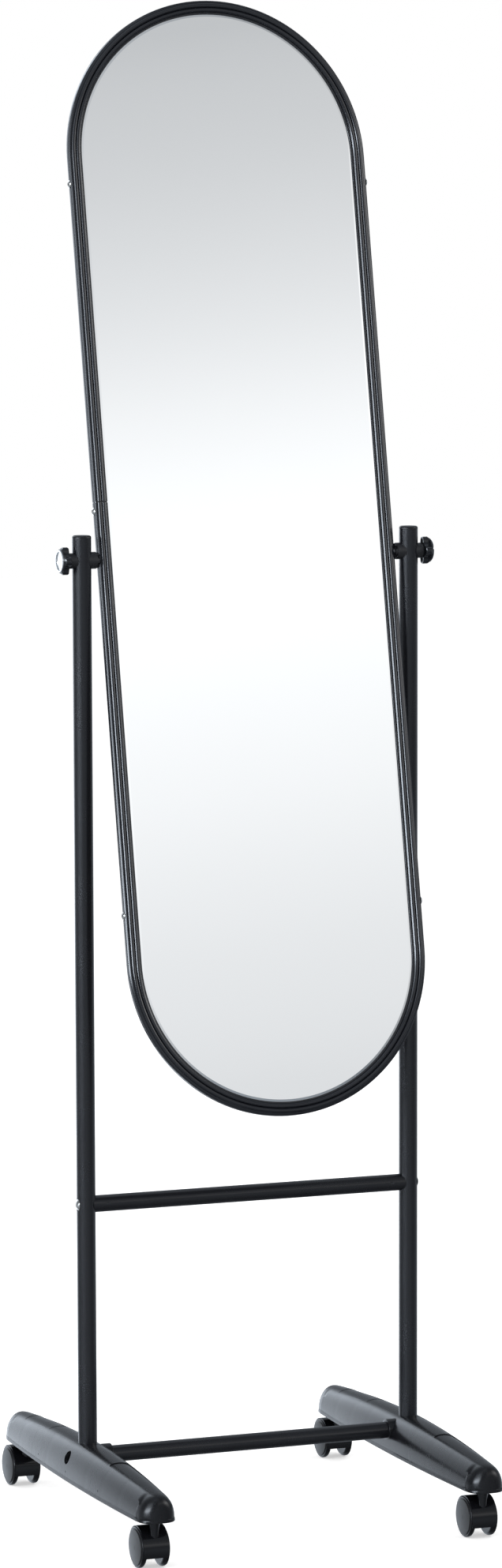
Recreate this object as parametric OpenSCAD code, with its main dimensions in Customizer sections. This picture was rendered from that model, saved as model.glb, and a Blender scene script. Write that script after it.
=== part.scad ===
// Floor mirror on four twin-wheel castors.
// A long mirror with round ends hangs between two tubular uprights and tilts
// on two knob bolts. X runs to the right, Y to the back, Z up, floor at Z = 0,
// and the uprights stand on Y = 0.

/* [Stand] */
// Distance between the upright centres
upright_spacing = 350; // [340:1:370]
// Outer diameter of the uprights
upright_diameter = 19; // [18.5:0.1:20]
// Wall of the uprights
upright_wall = 1.5; // [1.2:0.1:1.8]
// Height of the cap tops above the pivot axis
cap_above_pivot = 25; // [20:1:40]
// Outer diameter of both crossbars
crossbar_diameter = 17; // [16:0.1:17.5]
// Wall of the crossbars
crossbar_wall = 1.5; // [1.2:0.1:1.8]
// Height of the upper crossbar's axis
upper_bar_height = 331.2; // [300:0.1:360]
// Height of the lower crossbar's axis, inside the feet
lower_bar_height = 73.4; // [73:0.1:74]

/* [Feet] */
// Length of a foot
foot_length = 429; // [420:1:440]
// Width of a foot at its middle, above the lip
foot_width = 50; // [48:0.5:52]
// Height of a foot's lower edge
foot_bottom = 50.5; // [50:0.1:51]
// Height of a foot's crown at its middle
foot_crown = 88; // [87:0.1:90]
// Wall of the moulded feet
foot_wall = 2.6; // [2.2:0.1:3]
// How far the lip stands out
lip_out = 0.4; // [0.2:0.1:0.6]

/* [Castors] */
// Distance from a foot's end to the castor stem
stem_inset = 20.1; // [19:0.1:24]
// How far the wheels trail behind the stems
castor_trail = 14.4; // [13.5:0.1:15]
// Diameter of the wheels
wheel_diameter = 41; // [40.5:0.1:41.4]
// Width of a castor over its domed wheel discs
castor_width = 32.2; // [31.6:0.1:33]
// Diameter of the castor stems
stem_diameter = 6; // [5.8:0.1:6.2]
// Diameter of the axles
axle_diameter = 5; // [4.6:0.1:5.4]

/* [Mirror] */
// Length of the mirror over its frame
mirror_length = 1124; // [1100:1:1130]
// Gap between an upright and the frame
side_gap = 6.9; // [6.6:0.1:7.5]
// Height of the pivot axis
pivot_height = 978; // [970:1:985]
// How far the top leans back at rest
tilt = 11.52; // [0:0.01:20]
// Width of the frame profile, outer edge to glass opening
profile_width = 14.2; // [14:0.1:15]
// Wall of the frame profile
profile_wall = 1.5; // [1.3:0.1:1.6]
// Thickness of the mirror glass
glass_thickness = 3; // [2.8:0.1:3.2]
// Height of the butt joint above the pivot, on the left
joint_height = 57.5; // [54:0.5:60]

/* [Knobs] */
// Diameter over the lobes of a knob
knob_diameter = 27.4; // [26:0.1:29]
// Diameter of the pivot bolts
pivot_bolt_diameter = 6; // [5.8:0.1:6.2]

/* [Hidden] */
fit_gap = 0.05;        // between a round piece and the hole it fills
run_gap = 0.06;        // between a turning bore and its shaft
face_gap = 0.15;       // between the faces of pieces that turn on each other
edge = 0.01;           // overlap that joins two forms of one piece

up_x = upright_spacing / 2;
up_r = upright_diameter / 2;
bar_r = crossbar_diameter / 2;
stand_height = pivot_height + cap_above_pivot;
upright_foot_z = foot_bottom + 8;
cap_thickness = 2.6;
upright_top_z = stand_height - cap_thickness;

half_w = up_x - up_r - side_gap;          // half the mirror's width
straight = mirror_length / 2 - half_w;    // half of the straight legs
side_r = 5.1;                             // rounding of the profile's outer side
side_w = 0.1;                             // its centre, in depth
front_w = -4.6;                           // floor of the groove between the reeds
back_w = side_w + side_r;
back_wall = 1.2;
board_back_w = back_w - back_wall;
glass_front_w = -2.2;
glass_back_w = glass_front_w + glass_thickness;
reed_r = 2.3;
reeds = [[6.2, -3.7], [10.9, -3.3]];      // reed centres from the outer edge
pane_inset = 7.4;                         // outer edge of the frame to the pane's edge
block_depth = 6.8;                        // how far the inner blocks reach in
screw_head_r = 4;
screw_head_h = 2.3;
screw_flat = 0.4;
upper_screw = straight - 27;              // along the frame, from the pivot
lower_screw = 49.3 - straight;
joint_screw = joint_height - 9.1;
left_screws = [upper_screw, joint_screw, lower_screw];
right_screws = [upper_screw, lower_screw];
pivot_bar_half = 22;                      // the inner bars reach this far past the pivot,
joint_cover = 26.5;                       // and this far past the joint

bolt_r = 3;                               // crossbar bolts
bolt_head_r = 5.9;
bolt_flat = 0.8;                          // depth of the flats pressed in the uprights
pivot_r = pivot_bolt_diameter / 2;

foot_half = foot_width / 2;
lip_z = foot_bottom + 3.2;
base_z = lip_z + 0.6;
plan_r = 3300;                            // curve of a foot's sides in plan
crown_r = 2100;                           // curve of a foot's crown along its length
dome_start = foot_length / 2 - 19.5;
panel_start = 0.2145 * foot_length;       // the wedge panels in the crown, along Y
panel_end = 0.385 * foot_length;
panel_half = 10.5;
panel_depth = 0.8;
panel_corner_r = 4;
collar_r = bar_r + 2.5;
collar_reach = foot_half - 0.5;

stem_y = foot_length / 2 - stem_inset;
wheel_r = wheel_diameter / 2;
disc_r = wheel_r - 2;
disc_out = castor_width / 2;              // apex of the domed discs
disc_rim = 1.3;                           // rounding of a disc's rim
wheel_out = disc_out - 1.7;
wheel_in = wheel_out - 5.8;               // wheel's inner face from the castor's middle
disc_in = wheel_out - 1;
hood_r = wheel_r + 1.1;
hood_wall = 0.85;
hood_half = wheel_out - 1;                // half the hood's width
web_half = wheel_in - 0.4;                // half the width of the part between the wheels
web_wall = 1.8;
hood_front_z = 12.4;                      // lower edges of the hood
hood_back_z = 17;
neck_top = foot_bottom - 0.4;
neck_foot = wheel_r + 8;
neck_top_r = stem_diameter / 2 + 3.1;
neck_foot_r = stem_diameter / 2 + 0.3;
stem_foot = wheel_r + castor_trail + 1;
stem_top = (foot_bottom + foot_crown) / 2;

SATIN = [0.16, 0.16, 0.17];
GLOSS = [0.07, 0.07, 0.08];
PLASTIC = [0.22, 0.23, 0.25];
FACE = [0.33, 0.34, 0.35];
STEEL = [0.70, 0.71, 0.72];
BRIGHT = [0.80, 0.80, 0.79];
GLASS = [0.86, 0.88, 0.88];
BOARD = [0.10, 0.10, 0.11];

// ---- placing ------------------------------------------------------------

// A piece drawn along +Z is laid along X, pointing outward on one side.
module outward(side) {
    rotate([0, side * 90, 0]) children();
}

// A round bar along X.
module bar_x(r, x0, x1, fn = 48) {
    translate([min(x0, x1), 0, 0]) rotate([0, 90, 0]) cylinder(r = r, h = abs(x1 - x0), $fn = fn);
}

// The mirror's own frame: X across, Y through its depth, Z along it.
module mirror_place() {
    translate([0, 0, pivot_height]) rotate([-tilt, 0, 0]) children();
}

// ---- feet ---------------------------------------------------------------

function foot_half_at(y) = foot_half - y * y / (2 * plan_r);
function foot_crown_at(y) = foot_crown - y * y / (2 * crown_r);
function dome_part(y) = max(0, (abs(y) - dome_start) / (foot_length / 2 - dome_start));
function dome_x(y) = pow(1 - pow(dome_part(y), 2.8), 1 / 2.8);
function dome_z(y) = pow(1 - pow(dome_part(y), 5), 1 / 5);
function arch_power(y) = 2.4 - 0.35 * min(1, abs(y) / dome_start);

// One half of the arch, from the groove above the lip to the crown.
function arch(half, rise, power, steps) = [
    for (i = [0 : steps])
        let (a = 90 * i / steps)
        [half * pow(cos(a), 2 / power), rise * pow(sin(a), 2 / power)]
];

// The foot's outer section at y, on the right side, from the lip upward.
function outer_half(y) =
    let (
        sx = dome_x(y),
        half = (foot_half_at(y) - (dome_part(y) > 0 ? 0.5 : 0)) * sx,
        rise = (foot_crown_at(y) - base_z) * dome_z(y)
    )
    concat(
        [[half + lip_out + 0.3 * sx, foot_bottom], [half + lip_out, lip_z]],
        [for (p = arch(half, rise, arch_power(y), 8)) [p[0], base_z + p[1]]]
    );

// The hollow's section at y.
function inner_half(y) =
    let (
        half = foot_half_at(y) - foot_wall - 0.4,
        rise = foot_crown_at(y) - base_z - 2 * foot_wall
    )
    concat(
        [[half, foot_bottom - 1]],
        [for (p = arch(half, rise, arch_power(y), 6)) [p[0], base_z + p[1]]]
    );

function mirrored(half) = concat(
    half,
    [for (i = [len(half) - 2 : -1 : 0]) [-half[i][0], half[i][1]]]
);

// A solid through sections [y, points], with planes across its ends.
module loft(sections) {
    n = len(sections[0][1]);
    m = len(sections);
    polyhedron(
        points = [for (s = sections) for (p = s[1]) [p[0], s[0], p[1]]],
        faces = concat(
            [[for (j = [n - 1 : -1 : 0]) j]],
            [[for (j = [0 : n - 1]) (m - 1) * n + j]],
            [for (i = [0 : m - 2]) for (j = [0 : n - 1])
                let (k = (j + 1) % n)
                [i * n + j, i * n + k, (i + 1) * n + k]],
            [for (i = [0 : m - 2]) for (j = [0 : n - 1])
                let (k = (j + 1) % n)
                [i * n + j, (i + 1) * n + k, (i + 1) * n + j]]
        )
    );
}

function both_ways(ys) = concat(
    [for (i = [len(ys) - 1 : -1 : 1]) -ys[i]],
    ys
);

outer_stations = both_ways(concat(
    [for (t = [0, 0.18, 0.35, 0.49, 0.635, 0.77, 0.88]) t * dome_start],
    [dome_start - 6, dome_start - 0.2],
    [for (t = [0.02, 0.25, 0.48, 0.66, 0.80, 0.90, 0.96, 0.985])
        dome_start + t * (foot_length / 2 - dome_start)]
));
inner_stations = both_ways(concat(
    [for (t = [0, 0.31, 0.565, 0.77]) t * dome_start],
    [dome_start - 12, dome_start + 6]
));

module foot_outer() {
    loft([for (y = outer_stations) [y, mirrored(outer_half(y))]]);
}

module foot_hollow() {
    loft([for (y = inner_stations) [y, mirrored(inner_half(y))]]);
}

// What stands inside the hollow: stem sockets, the upright's socket and ribs.
module foot_inside() {
    for (s = [-1, 1])
        translate([0, s * stem_y, foot_bottom + 1.2]) cylinder(r = stem_diameter / 2 + 3.2, h = 40, $fn = 48);
    translate([0, 0, foot_bottom + 1.2]) cylinder(r = up_r + 3, h = 40, $fn = 64);
    for (s = [-1, 1]) for (part = [0.3, 0.535, 0.77])
        translate([-foot_half, s * part * stem_y - 0.9, foot_bottom + 3]) cube([foot_width, 1.8, 40]);
    translate([-0.9, -stem_y, foot_bottom + 6]) cube([1.8, 2 * stem_y, 40]);
}

// The shallow wedge panel in the crown, deepest at its inner end.
module crown_panel() {
    deep = foot_crown_at(panel_start) - panel_depth;
    flush = foot_crown_at(panel_end) - panel_depth / 4;
    above = foot_crown + 10;
    corner = panel_half - panel_corner_r;
    intersection() {
        translate([-panel_half - 1, 0, 0]) rotate([90, 0, 90]) linear_extrude(height = 2 * panel_half + 2)
            polygon([[panel_start, deep], [panel_end, flush], [panel_end, above], [panel_start, above]]);
        translate([0, 0, foot_bottom]) linear_extrude(height = above) union() {
            translate([-panel_half, panel_start + panel_corner_r])
                square([2 * panel_half, panel_end - panel_start]);
            translate([-corner, panel_start]) square([2 * corner, 2 * panel_corner_r]);
            for (s = [-1, 1]) translate([s * corner, panel_start + panel_corner_r])
                circle(r = panel_corner_r, $fn = 32);
        }
    }
}

// side is -1 for the left foot and 1 for the right one; its inner side faces X = 0.
module foot(side) {
    color(PLASTIC) translate([side * up_x, 0, 0]) difference() {
        union() {
            difference() {
                foot_outer();
                difference() {
                    foot_hollow();
                    foot_inside();
                }
            }
            translate([0, 0, lower_bar_height])
                bar_x(collar_r, -side * (up_r + 1), -side * collar_reach, 64);
        }
        // upright and its drain, lower crossbar, bolt and access hole
        translate([0, 0, upright_foot_z]) cylinder(r = up_r + fit_gap, h = 60, $fn = 64);
        translate([0, 0, foot_bottom - 1]) cylinder(r = up_r - 2.5, h = 20, $fn = 48);
        translate([0, up_r - 1.6, foot_crown - 3.2]) cylinder(r = 5, h = 10, $fn = 32);
        translate([0, 0, lower_bar_height]) {
            bar_x(bar_r + fit_gap, 0, -side * (collar_reach + 2), 64);
            bar_x(6.6, 0, side * (foot_half + 4), 48);
        }
        for (s = [-1, 1]) {
            translate([0, s * stem_y, foot_bottom - 1])
                cylinder(r = stem_diameter / 2 + fit_gap, h = stem_top + 3 - foot_bottom, $fn = 48);
            mirror([0, s < 0 ? 1 : 0, 0]) crown_panel();
        }
        // ejector pin marks on the outer side
        for (y = [-95, -2, 85])
            translate([side * (foot_half_at(y) - 0.5), y, 59.5])
                outward(side) cylinder(r = 0.9, h = 4, $fn = 32);
    }
}

// ---- uprights and crossbars ---------------------------------------------

module upright(side) {
    color(SATIN) translate([side * up_x, 0, 0]) difference() {
        translate([0, 0, upright_foot_z])
            cylinder(r = up_r, h = upright_top_z - upright_foot_z, $fn = 64);
        translate([0, 0, upright_foot_z - 1])
            cylinder(r = up_r - upright_wall, h = upright_top_z, $fn = 64);
        translate([0, 0, pivot_height]) bar_x(pivot_r + 0.3, -up_r - 1, up_r + 1);
        for (z = [upper_bar_height, lower_bar_height]) translate([0, 0, z]) {
            bar_x(bolt_r + 0.3, -up_r - 1, up_r + 1);
            bar_x(bolt_head_r + 0.3, side * (up_r - bolt_flat), side * (up_r + 1));
        }
    }
}

// Moulded plug cap with a softly rounded rim.
module cap(side) {
    plug_r = up_r - upright_wall - fit_gap;
    round_r = 2;
    color(SATIN) translate([side * up_x, 0, upright_top_z]) union() {
        rotate_extrude($fn = 64) union() {
            square([up_r - round_r, cap_thickness]);
            square([up_r, cap_thickness - round_r]);
            intersection() {
                translate([up_r - round_r, cap_thickness - round_r]) circle(r = round_r, $fn = 48);
                square([up_r + 1, cap_thickness]);
            }
        }
        difference() {
            translate([0, 0, -14]) cylinder(r = plug_r, h = 14 + edge, $fn = 64);
            translate([0, 0, -15]) cylinder(r = plug_r - 1.6, h = 15, $fn = 48);
        }
    }
}

// Tube with ends cut to sit on the uprights; the upper one has a crimp near each end.
module crossbar(z, crimped = false) {
    reach = up_x - up_r + 4;
    color(SATIN) translate([0, 0, z]) difference() {
        bar_x(bar_r, -reach, reach, 64);
        bar_x(bar_r - crossbar_wall, -reach - 1, reach + 1, 64);
        for (s = [-1, 1]) {
            translate([s * up_x, 0, -20]) cylinder(r = up_r + fit_gap, h = 40, $fn = 64);
            if (crimped)
                translate([s * (up_x - 21), -bar_r - 1.5, 1]) sphere(r = 2.2, $fn = 24);
        }
    }
}

module crossbar_inserts() {
    color(STEEL) for (z = [upper_bar_height, lower_bar_height]) for (s = [-1, 1])
        translate([0, 0, z]) difference() {
            bar_x(bar_r - crossbar_wall - fit_gap, s * (up_x - up_r - 2.2), s * (up_x - up_r - 20));
            bar_x(bolt_r + fit_gap, s * (up_x - up_r), s * (up_x - up_r - 21), 32);
        }
}

// Pan-head bolt along +Z, its head's seat at Z = 0 and its shank below.
module pan_bolt(shank_r, length, head_r, head_h) {
    difference() {
        union() {
            translate([0, 0, -length]) cylinder(r = shank_r, h = length + edge, $fn = 32);
            rotate_extrude($fn = 48) intersection() {
                translate([0, head_h - head_r * 1.45]) circle(r = head_r * 1.45, $fn = 96);
                square([head_r, head_h]);
            }
        }
        for (a = [0, 90]) rotate([0, 0, a])
            translate([-head_r * 0.5, -0.55, head_h - 1.2]) cube([head_r, 1.1, 2]);
    }
}

module crossbar_bolts() {
    color(STEEL) for (z = [upper_bar_height, lower_bar_height]) for (s = [-1, 1])
        translate([s * (up_x + up_r - bolt_flat), 0, z])
            outward(s) pan_bolt(bolt_r, 2 * up_r + 14, bolt_head_r, 2.1);
}

module castor_stems() {
    color(STEEL) for (sx = [-1, 1]) for (sy = [-1, 1])
        translate([sx * up_x, sy * stem_y, 0]) union() {
            translate([0, 0, stem_foot])
                cylinder(r = stem_diameter / 2, h = stem_top - stem_foot, $fn = 48);
            translate([0, 0, stem_top - edge])
                cylinder(r1 = stem_diameter / 2, r2 = stem_diameter / 2 - 1, h = 1.4, $fn = 48);
        }
}

// ---- pivots ---------------------------------------------------------------

// Drawn along +Z from the upright's axis; the tube's saddle is cut at its foot.
module saddle_cut() {
    rotate([90, 0, 0]) translate([0, 0, -30]) cylinder(r = up_r + fit_gap, h = 60, $fn = 64);
}

// Between upright and frame: a saddle on one end and six teeth on the other.
module inner_spacer(side) {
    body_r = 8.4;
    tip = up_r + side_gap - face_gap;
    color(GLOSS) translate([side * up_x, 0, pivot_height]) outward(-side) difference() {
        union() {
            translate([0, 0, up_r - 4.6]) cylinder(r = body_r, h = tip - up_r + 4.6 - 2, $fn = 64);
            translate([0, 0, tip - 2.1]) cylinder(r = body_r - 0.5, h = 2.1, $fn = 64);
        }
        rotate([0, 0, 90]) saddle_cut();
        translate([0, 0, -1]) cylinder(r = pivot_r + 0.3, h = 40, $fn = 48);
        for (a = [0 : 60 : 300]) rotate([0, 0, a])
            translate([4.6, -1.9, tip - 1.7]) cube([6, 3.8, 4]);
    }
}

// Between upright and knob: a round neck with the same saddle.
module outer_washer(side) {
    neck_r = 7.7;
    color(GLOSS) translate([side * up_x, 0, pivot_height]) outward(side) difference() {
        translate([0, 0, up_r - 4]) cylinder(r = neck_r, h = 8.4, $fn = 64);
        rotate([0, 0, 90]) saddle_cut();
        translate([0, 0, -1]) cylinder(r = pivot_r + 0.3, h = 40, $fn = 48);
    }
}

knob_seat = up_r + 4.4 + face_gap;   // from the upright's axis
lobe_foot = up_r + 5.2;
face_z = up_r + 13.4;
lobe_reach = knob_diameter / 2;
lobe_r = 0.3 * lobe_reach;
face_r = lobe_reach - 1.5;
badge_r = face_r - 1.3;
badge_sink = 0.5;

// Four round lobes on a web with four scallops.
module knob_outline() {
    for (a = [0 : 90 : 270]) rotate(a) translate([lobe_reach - lobe_r, 0]) circle(r = lobe_r, $fn = 64);
    difference() {
        circle(r = 0.78 * lobe_reach, $fn = 96);
        for (a = [45 : 90 : 315]) rotate(a)
            translate([1.11 * lobe_reach, 0]) circle(r = 0.475 * lobe_reach, $fn = 96);
    }
}

// Four hollow lobes that stand down from a round face, on a short hub.
module knob(side) {
    color(GLOSS) translate([side * up_x, 0, pivot_height]) outward(side)
        difference() {
            union() {
                intersection() {
                    translate([0, 0, lobe_foot]) linear_extrude(height = face_z - lobe_foot) knob_outline();
                    rotate_extrude($fn = 96) polygon([[0, lobe_foot - 1], [lobe_reach - 1.8, lobe_foot - 1],
                        [lobe_reach + 0.4, lobe_foot + 1.2], [lobe_reach + 0.4, face_z - 3.4],
                        [face_r - 0.6, face_z - 0.4], [face_r - 0.6, face_z + 1], [0, face_z + 1]]);
                }
                rotate_extrude($fn = 96) polygon([[0, face_z - 2.4], [face_r - 1.3, face_z - 2.4],
                    [face_r - 0.3, face_z - 1.8], [face_r, face_z - 1.1], [face_r - 0.1, face_z - 0.4],
                    [face_r - 0.5, face_z], [0, face_z]]);
                translate([0, 0, knob_seat]) cylinder(r = 6.8, h = lobe_foot - knob_seat + 1, $fn = 64);
            }
            for (a = [0 : 90 : 270]) rotate([0, 0, a]) translate([0, 0, lobe_foot - 1])
                linear_extrude(height = face_z - lobe_foot - 1.6) {
                    translate([lobe_reach - lobe_r, 0]) circle(r = lobe_r - 1.5, $fn = 48);
                    translate([7.2, 1.5 - lobe_r]) square([lobe_reach - lobe_r - 7.2, 2 * lobe_r - 3]);
                }
            translate([0, 0, face_z - badge_sink]) cylinder(r = badge_r + 0.12, h = 3, $fn = 96);
            translate([0, 0, knob_seat - 1])
                cylinder(r = pivot_r + fit_gap, h = face_z - knob_seat - 1.7, $fn = 48);
        }
}

// Bright domed disc that is pressed into the face of a knob.
module knob_face(side) {
    rise = 0.8;
    dome = (badge_r * badge_r + rise * rise) / (2 * rise);
    color(BRIGHT) translate([side * up_x, 0, pivot_height]) outward(side)
        translate([0, 0, face_z - badge_sink]) rotate_extrude($fn = 96) union() {
            square([badge_r, 0.7]);
            intersection() {
                translate([0, 0.7 + rise - dome]) circle(r = dome, $fn = 512);
                translate([0, 0.5]) square([badge_r, rise + 1]);
            }
        }
}

module knob_bolt(side) {
    tip = up_x - half_w + block_depth - 0.4;
    color(STEEL) translate([side * up_x, 0, pivot_height]) outward(side)
        translate([0, 0, -tip]) cylinder(r = pivot_r, h = tip + face_z - 2.9, $fn = 48);
}

// ---- mirror -----------------------------------------------------------------

// The reeded channel, drawn from the mirror's axis (X) and through its depth (Y).
module frame_profile() {
    translate([half_w, 0]) mirror([1, 0]) difference() {
        union() {
            translate([side_r, side_w]) circle(r = side_r, $fn = 64);
            translate([side_r, front_w]) square([profile_width - 1.8 - side_r, back_w - front_w]);
            translate([side_r, board_back_w]) square([profile_width - 0.6 - side_r, back_wall]);
            for (c = reeds) translate(c) circle(r = reed_r, $fn = 48);
            polygon([[profile_width - 2, front_w], [profile_width - 1.4, front_w],
                [profile_width, glass_front_w - 0.8], [profile_width, glass_front_w],
                [profile_width - 2, glass_front_w]]);
        }
        translate([side_r, side_w]) circle(r = side_r - profile_wall, $fn = 64);
        translate([side_r, front_w + 1.3])
            square([profile_width - 1.8 - side_r, board_back_w - front_w - 1.3]);
        translate([side_r, glass_front_w]) square([profile_width, board_back_w - glass_front_w]);
    }
}

module frame_ring() {
    for (s = [0, 180]) rotate([0, s, 0]) {
        translate([0, 0, -straight]) rotate([-90, 0, 0]) rotate_extrude(angle = 180, $fn = 128) frame_profile();
        translate([0, 0, -straight]) linear_extrude(height = 2 * straight) frame_profile();
    }
}

module at_frame_screws() {
    for (v = left_screws) translate([-half_w, side_w, v]) outward(-1) children();
    for (v = right_screws) translate([half_w, side_w, v]) outward(1) children();
}

module mirror_frame() {
    color(GLOSS) mirror_place() difference() {
        frame_ring();
        bar_x(pivot_r + 0.3, -half_w - 2, -half_w + 5);
        bar_x(pivot_r + 0.3, half_w - 5, half_w + 2);
        at_frame_screws() {
            translate([0, 0, -4]) cylinder(r = 1.75, h = 8, $fn = 32);
            translate([0, 0, -screw_flat]) cylinder(r = screw_head_r + 0.2, h = 4, $fn = 48);
        }
        translate([-half_w - 1, -10, joint_height - 0.2]) cube([profile_width + 2, 20, 0.4]);
    }
}

// A plate with round ends, its edge inset from the frame's outer edge.
module round_plate(inset, w0, w1) {
    r = half_w - inset;
    rotate([90, 0, 0]) translate([0, 0, -w1]) linear_extrude(height = w1 - w0) union() {
        square([2 * r, 2 * straight], center = true);
        for (s = [-1, 1]) translate([0, s * straight]) circle(r = r, $fn = 128);
    }
}

module mirror_glass() {
    color(GLASS) mirror_place() round_plate(pane_inset, glass_front_w, glass_back_w);
}

module backing_board() {
    color(BOARD) mirror_place() round_plate(pane_inset, glass_back_w, board_back_w);
}

// A bar that fills the channel's outer hollow from v0 to v1.
module channel_bar(side, v0, v1) {
    translate([0, 0, v0]) linear_extrude(height = v1 - v0)
        translate([side * half_w, 0]) mirror([side > 0 ? 1 : 0, 0]) intersection() {
            union() {
                translate([side_r, side_w]) circle(r = side_r - profile_wall - fit_gap, $fn = 64);
                translate([side_r, -3]) square([2, 6]);
            }
            translate([0, -5]) square([block_depth, 10]);
        }
}

module pivot_bar(side, v0, v1) {
    difference() {
        channel_bar(side, v0, v1);
        bar_x(pivot_r + run_gap, side * (half_w - 20), side * (half_w + 2));
        at_frame_screws() translate([0, 0, -12]) cylinder(r = 1.55, h = 14, $fn = 32);
    }
}

module left_joint_bar() {
    color(STEEL) mirror_place() pivot_bar(-1, -pivot_bar_half, joint_height + joint_cover);
}

module right_pivot_block() {
    color(STEEL) mirror_place() pivot_bar(1, -pivot_bar_half, pivot_bar_half);
}

module retaining_blocks() {
    color(STEEL) mirror_place() difference() {
        for (s = [-1, 1]) for (v = right_screws) channel_bar(s, v - 13, v + 13);
        at_frame_screws() translate([0, 0, -12]) cylinder(r = 1.55, h = 14, $fn = 32);
    }
}

module frame_screws() {
    color(STEEL) mirror_place() at_frame_screws()
        translate([0, 0, -screw_flat]) pan_bolt(1.5, 6, screw_head_r, screw_head_h);
}

// ---- castors ------------------------------------------------------------------

// Wheel section: X is the radius and Y the distance from the castor's middle.
module wheel_section() {
    in_r = 3;
    out_r = 1.2;
    difference() {
        union() {
            translate([2, wheel_in]) square([wheel_r - in_r - 2, wheel_out - wheel_in]);
            translate([2, wheel_in + in_r]) square([wheel_r - 2, wheel_out - out_r - wheel_in - in_r]);
            translate([2, wheel_in + in_r]) square([wheel_r - out_r - 2, wheel_out - wheel_in - in_r]);
            translate([wheel_r - in_r, wheel_in + in_r]) circle(r = in_r, $fn = 64);
            translate([wheel_r - out_r, wheel_out - out_r]) circle(r = out_r, $fn = 48);
        }
        square([axle_diameter / 2 + run_gap, 2 * wheel_out]);
        translate([0, disc_in]) square([disc_r, wheel_out]);
    }
}

// Domed disc with a rounded rim, which closes a wheel's outer face.
module disc_section() {
    r = disc_r - fit_gap;
    rim_y = disc_out - 0.7 - disc_rim;
    sag = 0.7;
    dome = (pow(r - disc_rim, 2) + sag * sag) / (2 * sag);
    union() {
        translate([0, disc_in]) square([r, rim_y - disc_in]);
        translate([0, disc_in]) square([r - disc_rim, rim_y + disc_rim - disc_in]);
        intersection() {
            translate([r - disc_rim, rim_y]) circle(r = disc_rim, $fn = 48);
            translate([0, rim_y]) square([r, disc_rim]);
        }
        intersection() {
            translate([0, disc_out - dome]) circle(r = dome, $fn = 720);
            translate([0, disc_in]) square([r - disc_rim, disc_out]);
        }
    }
}

// The castor stands with its stem on Z and its wheels trailing toward +Y.
module castor_place(sx, sy) {
    translate([sx * up_x, sy * stem_y, 0]) children();
}

module at_axle(side) {
    translate([0, castor_trail, wheel_r]) outward(side) children();
}

module wheel(sx, sy, side) {
    color(GLOSS) castor_place(sx, sy) at_axle(side) rotate_extrude($fn = 64) wheel_section();
}

module disc(sx, sy, side) {
    color(FACE) castor_place(sx, sy) at_axle(side) rotate_extrude($fn = 64) disc_section();
}

module axle(sx, sy) {
    reach = disc_in - 0.3;
    color(STEEL) castor_place(sx, sy) translate([0, castor_trail, wheel_r])
        bar_x(axle_diameter / 2, -reach, reach, 32);
}

// Hood: a drum over both wheels, a hollow middle between them and a conical neck.
module hood(sx, sy) {
    out = hood_half + 5;
    clear = 2 * hood_r;
    color(GLOSS) castor_place(sx, sy) difference() {
        union() {
            translate([0, castor_trail, wheel_r]) bar_x(hood_r, -hood_half, hood_half, 96);
            translate([0, 0, neck_foot])
                cylinder(r1 = neck_foot_r, r2 = neck_top_r, h = neck_top - neck_foot, $fn = 64);
        }
        // room for the wheels on both sides of the middle
        for (s = [-1, 1]) at_axle(s)
            translate([0, 0, web_half]) cylinder(r = hood_r - hood_wall, h = out, $fn = 96);
        // open below, higher at the back
        translate([-out, castor_trail - clear, -clear]) cube([2 * out, clear, clear + hood_front_z]);
        translate([-out, castor_trail - edge, -clear]) cube([2 * out, clear, clear + hood_back_z]);
        // pocket in the middle, around the axle's boss
        difference() {
            translate([0, castor_trail, wheel_r])
                bar_x(hood_r - web_wall, -web_half + web_wall, web_half - web_wall, 96);
            translate([-out, castor_trail - axle_diameter, -clear])
                cube([2 * out, 2 * axle_diameter, 3 * clear]);
            translate([0, 0, neck_foot - web_wall]) cylinder(r = neck_top_r + 1, h = clear, $fn = 48);
        }
        translate([0, castor_trail, wheel_r]) bar_x(axle_diameter / 2 + fit_gap, -out, out, 32);
        translate([0, 0, stem_foot - 0.4]) cylinder(r = stem_diameter / 2 + run_gap, h = clear, $fn = 48);
    }
}

// ---- the object -----------------------------------------------------------------

foot(-1);  // left_foot
foot(1);  // right_foot
upright(-1);  // left_upright
upright(1);  // right_upright
cap(-1);  // left_cap
cap(1);  // right_cap
crossbar(upper_bar_height, true);  // upper_crossbar
crossbar(lower_bar_height);  // lower_crossbar
crossbar_inserts();
crossbar_bolts();
castor_stems();
inner_spacer(-1);  // left_inner_spacer
inner_spacer(1);  // right_inner_spacer
outer_washer(-1);  // left_outer_washer
outer_washer(1);  // right_outer_washer
mirror_frame();
mirror_glass();
backing_board();
left_joint_bar();
right_pivot_block();
retaining_blocks();
frame_screws();
knob(-1);  // left_knob
knob_bolt(-1);  // left_knob_bolt
knob_face(-1);  // left_knob_face
knob(1);  // right_knob
knob_bolt(1);  // right_knob_bolt
knob_face(1);  // right_knob_face
hood(-1, -1);  // front_left_hood
axle(-1, -1);  // front_left_axle
wheel(-1, -1, -1);  // front_left_outer_wheel
disc(-1, -1, -1);  // front_left_outer_disc
wheel(-1, -1, 1);  // front_left_inner_wheel
disc(-1, -1, 1);  // front_left_inner_disc
hood(1, -1);  // front_right_hood
axle(1, -1);  // front_right_axle
wheel(1, -1, 1);  // front_right_outer_wheel
disc(1, -1, 1);  // front_right_outer_disc
wheel(1, -1, -1);  // front_right_inner_wheel
disc(1, -1, -1);  // front_right_inner_disc
hood(-1, 1);  // rear_left_hood
axle(-1, 1);  // rear_left_axle
wheel(-1, 1, -1);  // rear_left_outer_wheel
disc(-1, 1, -1);  // rear_left_outer_disc
wheel(-1, 1, 1);  // rear_left_inner_wheel
disc(-1, 1, 1);  // rear_left_inner_disc
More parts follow.
